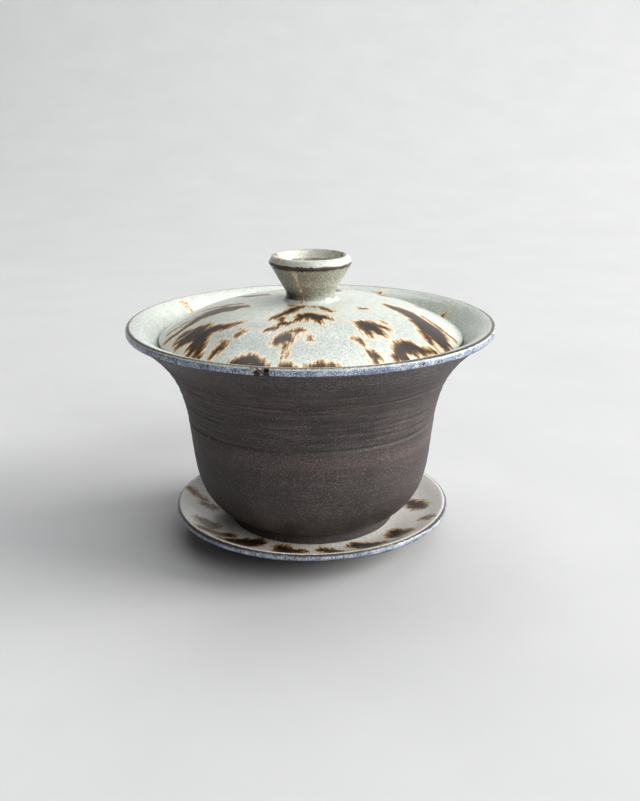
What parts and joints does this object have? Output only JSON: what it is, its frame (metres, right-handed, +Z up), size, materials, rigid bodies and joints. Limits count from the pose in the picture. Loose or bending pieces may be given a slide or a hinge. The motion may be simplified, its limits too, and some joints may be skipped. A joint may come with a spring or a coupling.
{
  "type": "gaiwan",
  "caption": "Stoneware tea bowl with a flared lip, standing in a shallow saucer under a domed lid with a hollow ring knob; pale speckled glaze with iron streaks, bare dark clay outside.",
  "frame": {"origin": "on the axis, at the surface that the saucer's foot ring stands on", "axes": "+Z up along the axis that every piece is thrown about; the pieces are round, so X and Y are free"},
  "size_m": [0.1, 0.1, 0.0798],
  "materials": {
    "bare_stoneware": "bare fired clay, matt, fine grog",
    "celadon_glaze": "glossy pale celadon with iron speckle and streaks"
  },
  "bodies": {
    "saucer": {"saucer_body": "bare_stoneware", "saucer_glaze": "celadon_glaze"},
    "bowl": {"bowl_body": "bare_stoneware", "bowl_glaze": "celadon_glaze"},
    "lid": {"lid_body": "bare_stoneware", "lid_glaze": "celadon_glaze", "lid_liner_glaze": "celadon_glaze", "lid_knob": "bare_stoneware", "knob_glaze": "celadon_glaze"}
  },
  "joints": [
    {"name": "bowl_lift", "type": "slide", "parent": "saucer", "child": "bowl", "axis": [0, 0, 1], "range_m": [0, 0.05]},
    {"name": "lid_lift", "type": "slide", "parent": "bowl", "child": "lid", "axis": [0, 0, 1], "range_m": [0, 0.06]}
  ]
}
